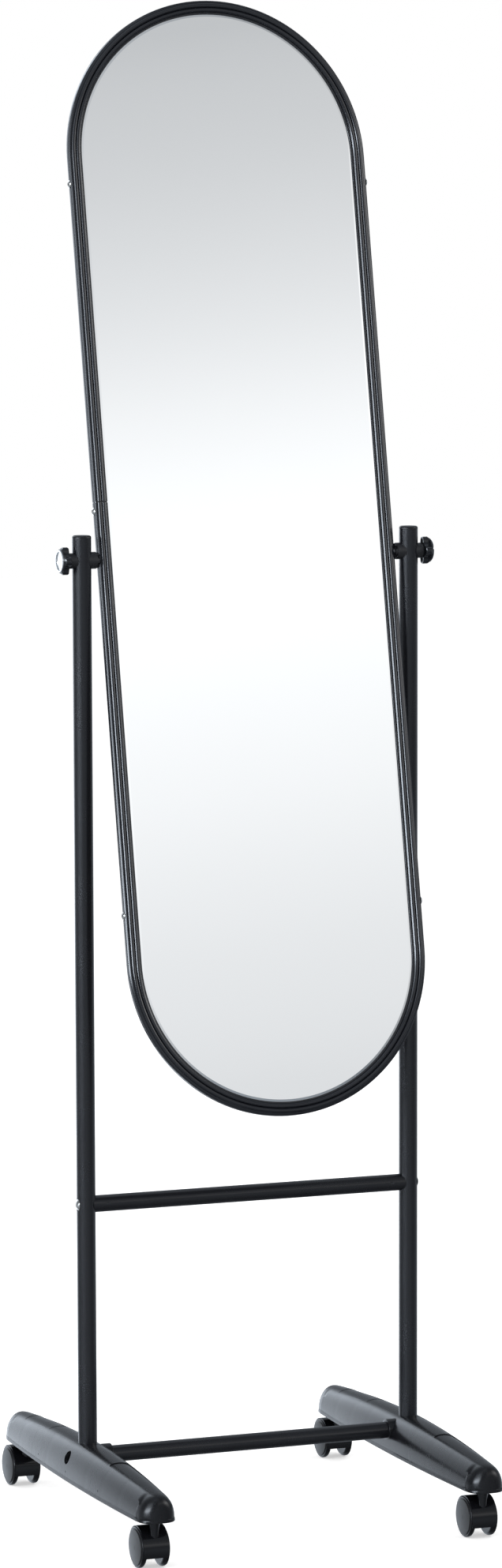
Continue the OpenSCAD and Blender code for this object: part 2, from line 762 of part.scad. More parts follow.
hood(1, 1);  // rear_right_hood
axle(1, 1);  // rear_right_axle
wheel(1, 1, 1);  // rear_right_outer_wheel
disc(1, 1, 1);  // rear_right_outer_disc
wheel(1, 1, -1);  // rear_right_inner_wheel
disc(1, 1, -1);  // rear_right_inner_disc
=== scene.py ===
"""Looks of a rolling floor mirror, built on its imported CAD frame.

X runs to the mirror's right, Y to the back and Z up, in metres.
"""

import logging
import math
from dataclasses import dataclass, field
from enum import Enum
from typing import Any, Callable, Iterable, Sequence

import bmesh
import bpy
from mathutils import Matrix, Vector


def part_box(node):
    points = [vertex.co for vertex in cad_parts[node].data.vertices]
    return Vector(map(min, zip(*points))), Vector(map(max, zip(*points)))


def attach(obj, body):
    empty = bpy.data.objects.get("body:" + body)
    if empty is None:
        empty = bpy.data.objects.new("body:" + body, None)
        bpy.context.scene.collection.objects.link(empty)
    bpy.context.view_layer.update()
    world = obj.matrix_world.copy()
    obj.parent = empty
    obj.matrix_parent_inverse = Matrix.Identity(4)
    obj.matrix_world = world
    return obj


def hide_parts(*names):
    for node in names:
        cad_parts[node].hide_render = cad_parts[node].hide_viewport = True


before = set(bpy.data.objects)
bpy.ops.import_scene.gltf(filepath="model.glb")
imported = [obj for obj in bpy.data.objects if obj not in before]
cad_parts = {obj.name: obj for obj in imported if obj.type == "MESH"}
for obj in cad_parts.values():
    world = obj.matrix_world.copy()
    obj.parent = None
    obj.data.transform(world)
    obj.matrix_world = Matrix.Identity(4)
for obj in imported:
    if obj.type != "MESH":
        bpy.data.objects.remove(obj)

logging.basicConfig(level=logging.INFO, format="%(name)s: %(message)s")
LOG = logging.getLogger("floor_mirror")

MM = 0.001
PHOTO_WIDTH_PX = 636
PHOTO_HEIGHT_PX = 1986
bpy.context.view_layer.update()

Colour = tuple[float, float, float]
Stops = tuple[tuple[float, float], ...]
Outline = Sequence[tuple[float, float]]
Point = Sequence[float]
Piece = bpy.types.Object

WHITE: Colour = (1.0, 1.0, 1.0)


# ---------------------------------------------------------------- shaders


class Value:
    """A shader socket that takes part in Python arithmetic."""

    def __init__(self, graph: "Graph", socket: bpy.types.NodeSocket) -> None:
        """Wraps an output socket of a graph."""
        self.graph, self.socket = graph, socket

    def _math(self, operation: str, first: Any, second: Any = 0.0) -> "Value":
        """Adds one Math node on two numbers or Values."""
        return self.graph.value("ShaderNodeMath", {"operation": operation}, {0: first, 1: second})

    def __add__(self, other: Any) -> "Value":
        """Adds other."""
        return self._math("ADD", self, other)

    def __radd__(self, other: Any) -> "Value":
        """Adds to other."""
        return self._math("ADD", other, self)

    def __sub__(self, other: Any) -> "Value":
        """Takes other away."""
        return self._math("SUBTRACT", self, other)

    def __rsub__(self, other: Any) -> "Value":
        """Is taken away from other."""
        return self._math("SUBTRACT", other, self)

    def __mul__(self, other: Any) -> "Value":
        """Multiplies by other."""
        return self._math("MULTIPLY", self, other)

    def __rmul__(self, other: Any) -> "Value":
        """Multiplies other."""
        return self._math("MULTIPLY", other, self)

    def __truediv__(self, other: Any) -> "Value":
        """Divides by other."""
        return self._math("DIVIDE", self, other)

    def __rtruediv__(self, other: Any) -> "Value":
        """Divides other."""
        return self._math("DIVIDE", other, self)

    def __pow__(self, other: Any) -> "Value":
        """Raises to a power."""
        return self._math("POWER", self, other)

    def __rpow__(self, other: Any) -> "Value":
        """Is the power of other."""
        return self._math("POWER", other, self)

    def clamped(self) -> "Value":
        """Keeps the value between 0 and 1."""
        return self._math("MINIMUM", self._math("MAXIMUM", self), 1.0)

    def absolute(self) -> "Value":
        """Drops the sign."""
        return self._math("ABSOLUTE", self)

    def arcsine(self) -> "Value":
        """Turns a height on the unit sphere into degrees."""
        return self._math("ARCSINE", self) * (180.0 / math.pi)

    def bearing(self, other: "Value") -> "Value":
        """Gives the angle in degrees whose sine is this value and whose cosine is the other."""
        return self._math("ARCTAN2", self, other) * (180.0 / math.pi)


class Graph:
    """The node tree of one material or world."""

    def __init__(self, tree: bpy.types.NodeTree) -> None:
        """Empties a tree, to fill it anew."""
        self.tree = tree
        tree.nodes.clear()

    def node(
        self, kind: str, settings: dict[str, Any] | None = None, inputs: dict[Any, Any] | None = None
    ) -> bpy.types.Node:
        """Adds any node.

        Args:
            kind: Blender's type name.
            settings: Attributes set first; "stops" fills a ramp with (place, grey).
            inputs: Numbers, colours, sockets or Values by input name or index.

        Returns:
            The new node.
        """
        made = self.tree.nodes.new(kind)
        for key, value in (settings or {}).items():
            if key == "stops":
                ramp = made.color_ramp
                ramp.interpolation = "B_SPLINE"
                while len(ramp.elements) < len(value):
                    ramp.elements.new(0.5)
                for element, (place, grey) in zip(ramp.elements, value):
                    element.position = place
                    element.color = (grey, grey, grey, 1.0)
            else:
                setattr(made, key, value)
        for key, value in (inputs or {}).items():
            target = made.inputs[key]
            if isinstance(value, Value):
                self.tree.links.new(value.socket, target)
            elif isinstance(value, bpy.types.NodeSocket):
                self.tree.links.new(value, target)
            elif target.type == "RGBA" and len(value) == 3:
                target.default_value = (*value, 1.0)
            else:
                target.default_value = value
        return made

    def value(self, kind: str, settings: Any = None, inputs: Any = None, out: int = 0) -> Value:
        """Adds a node as node() does and wraps one output."""
        return Value(self, self.node(kind, settings, inputs).outputs[out])

    def place(self, stretch: Point = (1.0, 1.0, 1.0)) -> Value:
        """Gives the object's own coordinates, scaled along X, Y and Z."""
        where = self.node("ShaderNodeTexCoord").outputs["Object"]
        return self.value("ShaderNodeMapping", None, {"Vector": where, "Scale": tuple(stretch)})

    def noise(
        self, size_mm: float, detail: float = 3.0, stretch: Point = (1.0, 1.0, 1.0), rough: float = 0.5
    ) -> Value:
        """Adds noise whose blotches have a real size.

        Args:
            size_mm: Rough size of one blotch.
            detail: Octaves.
            stretch: Scale of the coordinates along each axis.
            rough: Strength of the finer octaves.

        Returns:
            Noise around 0.5.
        """
        scale = 1.0 / (size_mm * MM)
        inputs = {"Vector": self.place(stretch), "Scale": scale, "Detail": detail, "Roughness": rough}
        return self.value("ShaderNodeTexNoise", None, inputs)

    def blend(self, factor: Any, first: Any, second: Any) -> Value:
        """Mixes two colours; a factor of 0 gives the first and 1 the second."""
        return self.value("ShaderNodeMix", {"data_type": "RGBA"}, {"Factor": factor, 6: first, 7: second}, 2)

    def mix(self, factor: Any, first: bpy.types.Node, second: bpy.types.Node) -> bpy.types.Node:
        """Mixes two shaders; a factor of 0 gives the first and 1 the second."""
        return self.node("ShaderNodeMixShader", None, {0: factor, 1: first.outputs[0], 2: second.outputs[0]})

    def curve(self, where: Value, stops: Stops) -> Value:
        """Runs a value through a smooth curve.

        Args:
            where: The value.
            stops: Places in rising order, each with the result there.

        Returns:
            The result, held beyond the ends.
        """
        first, last = stops[0], stops[-1]
        ease = 0.02 * (last[0] - first[0])
        held = [(first[0] - ease, first[1]), *stops, (last[0] + ease, last[1])]
        low, high = held[0][0], held[-1][0]
        top = max(level for _, level in stops)
        scaled = [((place - low) / (high - low), level / top) for place, level in held]
        return self.value("ShaderNodeValToRGB", {"stops": scaled}, {0: (where - low) / (high - low)}) * top

    def bump(self, height: Value, depth_mm: float, under: Value | None = None) -> Value:
        """Turns a height into a normal.

        Args:
            height: Height between 0 and 1.
            depth_mm: What 1 is worth.
            under: A normal to start from.

        Returns:
            The bumped normal.
        """
        inputs = {"Height": height, "Distance": depth_mm * MM, "Strength": 1.0}
        if under is not None:
            inputs["Normal"] = under
        return self.value("ShaderNodeBump", None, inputs)


@dataclass(frozen=True)
class Coating:
    """A finish, made as one Principled material."""

    name: str
    specular: float = field(default=0.5, kw_only=True)
    metal: float = field(default=0.0, kw_only=True)

    def surface(self, graph: Graph) -> dict[str, Any]:
        """Gives the inputs that vary over the surface; each finish has its own."""
        raise NotImplementedError

    def material(self) -> bpy.types.Material:
        """Builds the material.

        Returns:
            The material, with one shader.
        """
        material = bpy.data.materials.new(self.name)
        material.use_nodes = True
        graph = Graph(material.node_tree)
        steady = {"Specular IOR Level": self.specular, "Metallic": self.metal}
        shader = graph.node("ShaderNodeBsdfPrincipled", None, {**steady, **self.surface(graph)})
        graph.node("ShaderNodeOutputMaterial", None, {"Surface": shader.outputs[0]})
        return material


def lighter(colour: Colour, times: float) -> Colour:
    """Scales a colour."""
    return tuple(times * part for part in colour)


@dataclass(frozen=True)
class PowderCoat(Coating):
    """Baked powder on steel tube, with a fine orange peel."""

    name: str = "satin_powder"
    specular: float = 0.45
    colour: Colour = (0.0068, 0.0074, 0.0096)
    roughness: float = 0.26
    peel_mm: float = 1.1
    peel_depth_mm: float = 0.012

    def surface(self, graph: Graph) -> dict[str, Any]:
        """Gives clouds in colour and gloss, and the peel.

        Args:
            graph: The material's nodes.

        Returns:
            The linked inputs.
        """
        peel = graph.noise(self.peel_mm, 2.0)
        cloud = graph.noise(60.0)
        return {
            "Base Color": graph.blend(cloud, self.colour, lighter(self.colour, 1.5)),
            "Roughness": (cloud - 0.5) * 0.10 + self.roughness + (peel - 0.5) * 0.05,
            "Normal": graph.bump(peel, self.peel_depth_mm),
        }


@dataclass(frozen=True)
class Lacquer(Coating):
    """Gloss black lacquer on the drawn frame profile."""

    name: str = "gloss_lacquer"
    colour: Colour = (0.0062, 0.0070, 0.0095)
    roughness: float = 0.16
    wave_depth_mm: float = 0.012

    def surface(self, graph: Graph) -> dict[str, Any]:
        """Gives a haze and slow waves.

        Args:
            graph: The material's nodes.

        Returns:
            The linked inputs.
        """
        wave = graph.noise(9.0, 2.0)
        haze = graph.noise(38.0, 4.0)
        return {
            "Base Color": graph.blend(haze, self.colour, lighter(self.colour, 1.7)),
            "Roughness": (haze - 0.5) * 0.10 + self.roughness,
            "Normal": graph.bump(wave, self.wave_depth_mm),
        }


@dataclass(frozen=True)
class MouldedPlastic(Coating):
    """Injection-moulded plastic with flow clouds and a fine spark texture."""

    colour: Colour
    roughness: float
    flow_mm: float
    grain_depth_mm: float
    grain_mm: float = 0.45

    def surface(self, graph: Graph) -> dict[str, Any]:
        """Gives the flow clouds and the grain.

        Args:
            graph: The material's nodes.

        Returns:
            The linked inputs.
        """
        grain = graph.noise(self.grain_mm, 2.0)
        flow = graph.noise(self.flow_mm, 4.0, (1.0, 0.45, 1.0))
        return {
            "Base Color": graph.blend(flow, self.colour, lighter(self.colour, 1.35)),
            "Roughness": (flow - 0.5) * 0.12 + self.roughness,
            "Normal": graph.bump(grain, self.grain_depth_mm),
        }


@dataclass(frozen=True)
class FootPlastic(Coating):
    """Smooth moulded plastic with sink marks over the ribs and faint flow streaks down the sides."""

    name: str = "foot_plastic"
    specular: float = 0.3
    colour: Colour = (0.0048, 0.0052, 0.0064)
    roughness: float = 0.25
    ribs_mm: tuple[float, ...] = (58.3, 104.0, 149.7)
    mark_half_mm: float = 6.5
    mark_depth_mm: float = 0.05

    def surface(self, graph: Graph) -> dict[str, Any]:
        """Gives the marks along the foot, with streaks, clouds and grain.

        Args:
            graph: The material's nodes.

        Returns:
            The linked inputs.
        """
        axes = graph.node("ShaderNodeSeparateXYZ", None, {0: graph.place()}).outputs
        along = Value(graph, axes[1]).absolute() * (1.0 / MM)
        shares = (((along - rib) / self.mark_half_mm).absolute() ** 2.0 for rib in self.ribs_mm)
        marks = sum((1.0 - share).clamped() ** 2.0 for share in shares)
        streaks = graph.noise(3.2, 3.0, (1.0, 1.0, 0.12), 0.6)
        clouds = graph.noise(26.0, 3.0, (1.0, 1.0, 0.5))
        fine = graph.bump(graph.noise(0.5, 2.0), 0.005)
        height = (1.0 - marks) * 0.4 + streaks * 0.3 + clouds * 0.3
        mottle = (clouds * 0.7 + streaks * 0.3).clamped()
        return {
            "Base Color": graph.blend(mottle, self.colour, lighter(self.colour, 1.9)),
            "Roughness": (clouds - 0.5) * 0.14 + (streaks - 0.5) * 0.10 + self.roughness,
            "Normal": graph.bump(height, self.mark_depth_mm, fine),
        }


@dataclass(frozen=True)
class Plating(Coating):
    """Bright or dull plated steel with drawn or turned marks."""

    colour: Colour
    roughness: float
    marks_mm: float = 0.6
    metal: float = field(default=1.0, kw_only=True)

    def surface(self, graph: Graph) -> dict[str, Any]:
        """Gives the marks and a faint stain.

        Args:
            graph: The material's nodes.

        Returns:
            The linked inputs.
        """
        marks = graph.noise(self.marks_mm, 3.0, (1.0, 1.0, 0.2))
        stain = graph.noise(7.0, 4.0)
        return {
            "Base Color": graph.blend(stain, lighter(self.colour, 0.78), self.colour),
            "Roughness": (marks - 0.5) * 0.16 + self.roughness,
            "Normal": graph.bump(marks, 0.006),
        }


@dataclass(frozen=True)
class Silvering(Coating):
    """Silvered glass, clean but for the faintest haze."""

    name: str = "silvered_glass"
    metal: float = 1.0
    colour: Colour = (0.955, 0.965, 0.965)
    paler: Colour = (0.965, 0.972, 0.975)

    def surface(self, graph: Graph) -> dict[str, Any]:
        """Gives the haze.

        Args:
            graph: The material's nodes.

        Returns:
            The linked inputs.
        """
        haze = graph.noise(90.0, 4.0)
        return {
            "Base Color": graph.blend(haze, self.colour, self.paler),
            "Roughness": (haze * 0.02).clamped() + 0.004,
        }


@dataclass(frozen=True)
class Hardboard(Coating):
    """Thin pressed board with a dark painted face."""

    name: str = "backing_hardboard"
    colour: Colour = (0.030, 0.029, 0.028)
    paler: Colour = (0.060, 0.056, 0.050)

    def surface(self, graph: Graph) -> dict[str, Any]:
        """Gives the weave and wide stains.

        Args:
            graph: The material's nodes.

        Returns:
            The linked inputs.
        """
        weave = graph.noise(1.6, 5.0, (1.0, 1.0, 0.7), 0.7)
        stain = graph.noise(120.0, 4.0)
        return {
            "Base Color": graph.blend((stain * 0.6 + weave * 0.5 - 0.1).clamped(), self.colour, self.paler),
            "Roughness": weave * 0.2 + 0.55,
            "Normal": graph.bump(weave, 0.05),
        }


class Finish(Enum):
    """The finishes of the object, by the part they belong to."""

    TUBE = PowderCoat()
    FRAME = Lacquer()
    FOOT = FootPlastic()
    CAP = MouldedPlastic("cap_plastic", (0.0065, 0.0068, 0.0085), 0.34, 34.0, 0.006, specular=0.35)
    KNOB = MouldedPlastic("knob_plastic", (0.0072, 0.0080, 0.0105), 0.16, 12.0, 0.002)
    SPACER = MouldedPlastic("spacer_plastic", (0.0085, 0.0090, 0.0110), 0.42, 6.0, 0.006)
    HOOD = MouldedPlastic("castor_gloss", (0.0045, 0.0048, 0.0062), 0.13, 14.0, 0.001, specular=0.42)
    WHEEL = MouldedPlastic("wheel_nylon", (0.0055, 0.0055, 0.0068), 0.26, 9.0, 0.004, specular=0.18)
    WHEEL_FACE = MouldedPlastic("wheel_face", (0.014, 0.0142, 0.0150), 0.34, 8.0, 0.006, specular=0.12)
    ZINC = Plating("zinc_plate", (0.60, 0.60, 0.61), 0.36)
    NICKEL = Plating("nickel_plate", (0.74, 0.73, 0.70), 0.20)
    KNOB_FACE = Plating("bright_face", (0.90, 0.90, 0.90), 0.12, 2.4)
    MIRROR = Silvering()
    BOARD = Hardboard()


class Palette:
    """Keeps one material for each finish."""

    def __init__(self) -> None:
        """Starts with no materials."""
        self.made: dict[Finish, bpy.types.Material] = {}

    def get(self, finish: Finish) -> bpy.types.Material:
        """Gives a finish's material.

        Args:
            finish: The finish wanted.

        Returns:
            Its material, made on first use.
        """
        if finish not in self.made:
            self.made[finish] = finish.value.material()
        return self.made[finish]

    def coat(self, finish: Finish, piece: Piece) -> None:
        """Gives a new piece its only finish."""
        piece.data.materials.clear()
        piece.data.materials.append(self.get(finish))

    def dress(self, finish: Finish, *nodes: str) -> None:
        """Gives CAD nodes a finish.

        Args:
            finish: The finish.
            nodes: Names of CAD nodes.
        """
        for name in nodes:
            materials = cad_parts[name].data.materials
            material = self.get(finish)
            if len(materials) == 0:
                materials.append(material)
            for index in range(len(materials)):
                materials[index] = material


# ---------------------------------------------------------------- the studio


@dataclass
class Studio:
    """Camera, floor, backdrop light and lamps; bearings in degrees from the back, clockwise from above."""

    camera_at: tuple[float, float, float] = (-2.14483, -5.58197, 1.41046)
    yaw_deg: float = 20.928
    down_deg: float = 7.681
    roll_deg: float = -0.189
    focal_px: float = 7579.02
    middle_px: tuple[float, float] = (302.145, 1173.234)
    sensor_mm: float = 36.0
    floor_size: float = 24.0
    floor_grey: float = 0.86
    floor_glow: float = 0.50
    daylight: float = 0.67
    cool: Colour = (0.82, 0.90, 1.0)
    cool_level: float = 1.06
    wall_turn: Stops = (
        (-60, 0.0), (-42, 0.15), (-32, 0.7), (-27, 1.3), (-20, 1.6), (-13, 2.3), (-8, 3.2), (-3, 3.3),
        (1, 1.4), (5, 0.35), (12, 0.2), (40, 0.2), (110, 0.0)
    )
    wall_rise: Stops = (
        (-50, 0.3), (-20, 0.8), (-8, 0.9), (5, 0.9), (18, 1.0), (30, 0.9), (45, 0.4), (70, 0.0)
    )
    room_turn: Stops = (
        (-180, 0.7), (-130, 0.85), (-90, 0.6), (-45, 0.5), (0, 0.4), (30, 0.6), (70, 0.6), (100, 0.4),
        (128, 0.18), (150, 0.35), (180, 0.7)
    )
    room_rise: Stops = (
        (-70, 0.25), (-30, 0.5), (-8, 1.0), (2, 0.6), (10, 0.3), (24, 0.3), (40, 0.7), (60, 1.0), (90, 1.0)
    )
    strip_turn: Stops = (
        (-146, 0.0), (-140, 0.5), (-132, 27.0), (-110, 34.0), (-93, 24.0), (-83, 1.0), (-74, 0.0)
    )
    strip_rise: Stops = (
        (-1, 0.0), (2.5, 0.0), (4.5, 0.35), (5.8, 0.9), (7.4, 1.0), (9, 0.8), (10.5, 0.4), (12.5, 0.17),
        (18, 0.1), (26, 0.08), (40, 0.0)
    )
    front_turn: Stops = (
        (88, 0.0), (98, 2.0), (108, 5.0), (126, 5.5), (134, 2.6), (141, 1.15), (150, 1.0), (175, 1.0),
        (180, 1.0)
    )
    front_rise: Stops = (
        (4, 0.0), (9, 0.45), (12.3, 0.635), (13.6, 0.69), (14.4, 0.755), (15.1, 0.815), (16.1, 0.885),
        (17, 0.95), (17.9, 0.92), (18.8, 0.80), (19.65, 0.67), (20.55, 0.57), (21.45, 0.485), (22.3, 0.45),
        (30, 0.2), (45, 0.0)
    )

    def camera(self) -> None:
        """Sets the camera where the photograph was taken from."""
        yaw, down, roll = (math.radians(a) for a in (self.yaw_deg, self.down_deg, self.roll_deg))
        ahead = Vector((math.sin(yaw) * math.cos(down), math.cos(yaw) * math.cos(down), -math.sin(down)))
        level = Vector((math.cos(yaw), -math.sin(yaw), 0.0))
        right = level * math.cos(roll) + level.cross(ahead) * math.sin(roll)
        top = right.cross(ahead)
        data = bpy.data.cameras.new("photo_camera")
        data.sensor_fit = "AUTO"
        data.sensor_width = self.sensor_mm
        data.lens = self.focal_px / PHOTO_HEIGHT_PX * self.sensor_mm
        data.shift_x = (PHOTO_WIDTH_PX / 2 - self.middle_px[0]) / PHOTO_HEIGHT_PX
        data.shift_y = (self.middle_px[1] - PHOTO_HEIGHT_PX / 2) / PHOTO_HEIGHT_PX
        data.clip_start, data.clip_end = 0.05, 60.0
        camera = bpy.data.objects.new("photo_camera", data)
        bpy.context.scene.collection.objects.link(camera)
        turned = Matrix((right, top, -ahead)).transposed().to_4x4()
        camera.matrix_world = Matrix.Translation(self.camera_at) @ turned
        bpy.context.scene.camera = camera

    def floor(self) -> None:
        """Lays a wide pale floor that shiny surfaces look through."""
        Bench.idle()
        bpy.ops.mesh.primitive_plane_add(size=self.floor_size, location=(0.0, 0.0, 0.0))
        floor = bpy.context.active_object
        floor.name = "floor"
        material = bpy.data.materials.new("pale_floor")
        material.use_nodes = True
        graph = Graph(material.node_tree)
        path = graph.node("ShaderNodeLightPath").outputs
        plain = graph.node("ShaderNodeBsdfDiffuse", None, {"Color": (self.floor_grey,) * 3})
        glow = graph.node("ShaderNodeEmission", None, {"Color": WHITE, "Strength": self.floor_glow})
        both = graph.node("ShaderNodeAddShader", None, {0: plain.outputs[0], 1: glow.outputs[0]})
        through = graph.node("ShaderNodeBsdfTransparent")
        seen = graph.mix(path["Is Camera Ray"], plain, both)
        mixed = graph.mix(path["Is Glossy Ray"], seen, through)
        graph.node("ShaderNodeOutputMaterial", None, {"Surface": mixed.outputs[0]})
        floor.data.materials.append(material)

    def surroundings(self) -> None:
        """Makes a white backdrop, and a bright wall behind and a dim room in front for shiny surfaces."""
        world = bpy.data.worlds.new("studio")
        world.use_nodes = True
        graph = Graph(world.node_tree)
        path = graph.node("ShaderNodeLightPath").outputs
        clear = Value(graph, path["Is Camera Ray"]) + Value(graph, path["Is Transmission Ray"])
        way = graph.node("ShaderNodeTexCoord").outputs["Generated"]
        axes = graph.node("ShaderNodeSeparateXYZ", None, {0: way}).outputs
        along, back, height = (Value(graph, axes[index]) for index in range(3))
        turn = along.bearing(back)
        rise = height.arcsine()
        wall = graph.curve(turn, self.wall_turn) * graph.curve(rise, self.wall_rise)
        room = graph.curve(turn, self.room_turn) * graph.curve(rise, self.room_rise)
        front = graph.curve(turn, self.front_turn) * graph.curve(rise, self.front_rise)
        strips = graph.curve(turn, self.strip_turn) * graph.curve(rise, self.strip_rise)
        lit = graph.node("ShaderNodeBackground", None, {"Color": WHITE, "Strength": self.daylight})
        cool_strength = (wall + room + strips) * self.cool_level
        cool = graph.node("ShaderNodeBackground", None, {"Color": self.cool, "Strength": cool_strength})
        pale = graph.node("ShaderNodeBackground", None, {"Color": WHITE, "Strength": front})
        mirrored = graph.node("ShaderNodeAddShader", None, {0: cool.outputs[0], 1: pale.outputs[0]})
        white = graph.node("ShaderNodeBackground", None, {"Color": WHITE, "Strength": 1.0})
        hidden = graph.mix(path["Is Glossy Ray"], lit, mirrored)
        shown = graph.mix(clear.clamped(), hidden, white)
        graph.node("ShaderNodeOutputWorld", None, {"Surface": shown.outputs[0]})
        bpy.context.scene.world = world

    def lamp(self, name: str, at: Point, size: tuple[float, float], watts: float) -> None:
        """Hangs one soft box that lights the object and isn't mirrored in it.

        Args:
            name: The lamp's name.
            at: Where it hangs.
            size: Width and height.
            watts: Power.
        """
        data = bpy.data.lights.new(name, "AREA")
        data.shape = "RECTANGLE"
        data.size, data.size_y = size
        data.energy = watts
        lamp = bpy.data.objects.new(name, data)
        lamp.location = at
        lamp.rotation_euler = (Vector((0.0, 0.0, 0.7)) - Vector(at)).to_track_quat("-Z", "Y").to_euler()
        lamp.visible_camera = False
        lamp.visible_glossy = False
        bpy.context.scene.collection.objects.link(lamp)

    def build(self) -> None:
        """Sets up everything that isn't the object."""
        self.camera()
        self.floor()
        self.surroundings()
        self.lamp("key_box", (-2.6, -2.2, 3.0), (1.6, 1.6), 47.0)
        self.lamp("fill_box", (3.0, -2.6, 2.2), (1.6, 2.4), 31.0)
        self.lamp("left_strip", (-3.2, 1.6, 1.2), (0.7, 2.6), 39.0)
        self.lamp("right_strip", (3.0, 2.2, 1.4), (0.7, 2.6), 39.0)
        bpy.context.scene.view_settings.view_transform = "Standard"
        LOG.info("studio ready")


# ---------------------------------------------------------------- the workbench


class Bench:
    """Hand tools for modelling with Blender's operators, in millimetres and degrees."""

    @staticmethod
    def idle() -> None:
        """Leaves edit mode with nothing selected."""
        if bpy.context.object is not None and bpy.context.object.mode != "OBJECT":
            bpy.ops.object.mode_set(mode="OBJECT")
        bpy.ops.object.select_all(action="DESELECT")

    @staticmethod
    def take(piece: Piece) -> None:
        """Selects one piece and makes it active.

        Args:
            piece: The piece.
        """
        Bench.idle()
        piece.select_set(True)
        bpy.context.view_layer.objects.active = piece

    @staticmethod
    def _started(name: str) -> Piece:
        """Names the new primitive and puts its place in its mesh.

        Args:
            name: The piece's name.

        Returns:
            The new piece.
        """
        piece = bpy.context.active_object
        piece.name = piece.data.name = name
        bpy.ops.object.transform_apply(location=True, rotation=True, scale=True)
        return piece

    @staticmethod
    def _put(at: Point, turn: Point) -> dict[str, Any]:
        """Says where a primitive goes, in the operators' own units."""
        return {"location": Vector(at) * MM, "rotation": tuple(math.radians(a) for a in turn)}

    @staticmethod
    def ring(name: str, radius: float, points: int, at: Point, turn: Point) -> Piece:
        """Starts from a circle.

        Args:
            name: The piece's name.
            radius: Radius.
            points: Points around.
            at: Centre.
            turn: Turn about X, Y and Z.

        Returns:
            The new piece.
        """
        Bench.idle()
        bpy.ops.mesh.primitive_circle_add(vertices=points, radius=radius * MM, **Bench._put(at, turn))
        return Bench._started(name)

    @staticmethod
    def rod(
        name: str, radius: float, length: float, at: Point, turn: Point = (0, 0, 0), points: int = 48
    ) -> Piece:
        """Starts from a cylinder.

        Args:
            name: The piece's name.
            radius: Radius.
            length: Length.
            at: Centre.
            turn: Turn about X, Y and Z.
            points: Points around.

        Returns:
            The new piece.
        """
        Bench.idle()
        size = {"radius": radius * MM, "depth": length * MM}
        bpy.ops.mesh.primitive_cylinder_add(vertices=points, **size, **Bench._put(at, turn))
        return Bench._started(name)

    @staticmethod
    def trace(name: str, outline: Sequence[Point]) -> Piece:
        """Draws an outline point by point and leaves it open in edit mode, all selected.

        Args:
            name: The piece's name.
            outline: Its points; a closed outline ends where it starts.

        Returns:
            The new piece.
        """
        Bench.idle()
        bpy.ops.mesh.primitive_plane_add(size=MM, location=Vector(outline[0]) * MM)
        piece = Bench._started(name)
        Bench.open(piece)
        bpy.ops.mesh.select_all(action="SELECT")
        bpy.ops.mesh.merge(type="CENTER")
        for before, here in zip(outline, outline[1:]):
            Bench.push(*(b - a for a, b in zip(before, here)))
        bpy.ops.mesh.select_all(action="SELECT")
        return piece

    @staticmethod
    def spin(angle: float, steps: int, centre: Point, axis: Point) -> None:
        """Spins what is selected about an axis through a centre."""
        bpy.ops.mesh.spin(steps=steps, angle=math.radians(angle), center=Vector(centre) * MM, axis=axis)

    @staticmethod
    def block(name: str, low: Point, high: Point) -> Piece:
        """Starts from a cube.

        Args:
            name: The piece's name.
            low: Lowest corner.
            high: Highest corner.

        Returns:
            The new piece.
        """
        Bench.idle()
        first, last = Vector(low) * MM, Vector(high) * MM
        bpy.ops.mesh.primitive_cube_add(size=1.0, location=(first + last) / 2, scale=last - first)
        return Bench._started(name)

    @staticmethod
    def open(piece: Piece) -> None:
        """Opens a piece in edit mode with nothing selected.

        Args:
            piece: The piece.
        """
        Bench.take(piece)
        bpy.ops.object.mode_set(mode="EDIT")
        bpy.ops.mesh.select_mode(type="VERT")
        bpy.ops.mesh.select_all(action="DESELECT")

    @staticmethod
    def _choose(piece: Piece, kind: str, test: Callable[[Any], bool]) -> int:
        """Selects what passes a test in an open piece.

        Args:
            piece: The open piece.
            kind: VERT, EDGE or FACE.
            test: Says yes for a point, an edge or a face.

        Returns:
            How many passed.
        """
        bpy.ops.mesh.select_all(action="DESELECT")
        bpy.ops.mesh.select_mode(type=kind)
        mesh = bmesh.from_edit_mesh(piece.data)
        parts = {"VERT": mesh.verts, "EDGE": mesh.edges, "FACE": mesh.faces}[kind]
        found = [part for part in parts if test(part)]
        for part in found:
            part.select = True
        if kind != "EDGE":
            mesh.select_flush(True)
        bmesh.update_edit_mesh(piece.data)
        return len(found)

    @staticmethod
    def pick(piece: Piece, test: Callable[[Vector], bool]) -> int:
        """Selects points by their place and counts them."""
        return Bench._choose(piece, "VERT", lambda point: test(point.co / MM))

    @staticmethod
    def pick_faces(piece: Piece, test: Callable[[Vector, Vector], bool]) -> int:
        """Selects faces by their middle and normal and counts them."""
        return Bench._choose(piece, "FACE", lambda face: test(face.calc_center_median() / MM, face.normal))

    @staticmethod
    def pick_edges(piece: Piece, test: Callable[[Vector, Vector], bool]) -> int:
        """Selects edges by their two ends and counts them."""
        return Bench._choose(piece, "EDGE", lambda line: test(*(end.co / MM for end in line.verts)))

    @staticmethod
    def push(x: float, y: float, z: float) -> None:
        """Extrudes what is selected."""
        bpy.ops.mesh.extrude_region_move(TRANSFORM_OT_translate={"value": (x * MM, y * MM, z * MM)})

    @staticmethod
    def move(x: float, y: float, z: float) -> None:
        """Moves what is selected."""
        bpy.ops.transform.translate(value=(x * MM, y * MM, z * MM))

    @staticmethod
    def scale(x: float, y: float, z: float, about: Point = (0, 0, 0)) -> None:
        """Scales what is selected about a place."""
        bpy.ops.transform.resize(value=(x, y, z), center_override=Vector(about) * MM)

    @staticmethod
    def soften(offset: float, segments: int) -> None:
        """Rounds the selected edges."""
        bpy.ops.mesh.bevel(offset=offset * MM, segments=segments, affect="EDGES")

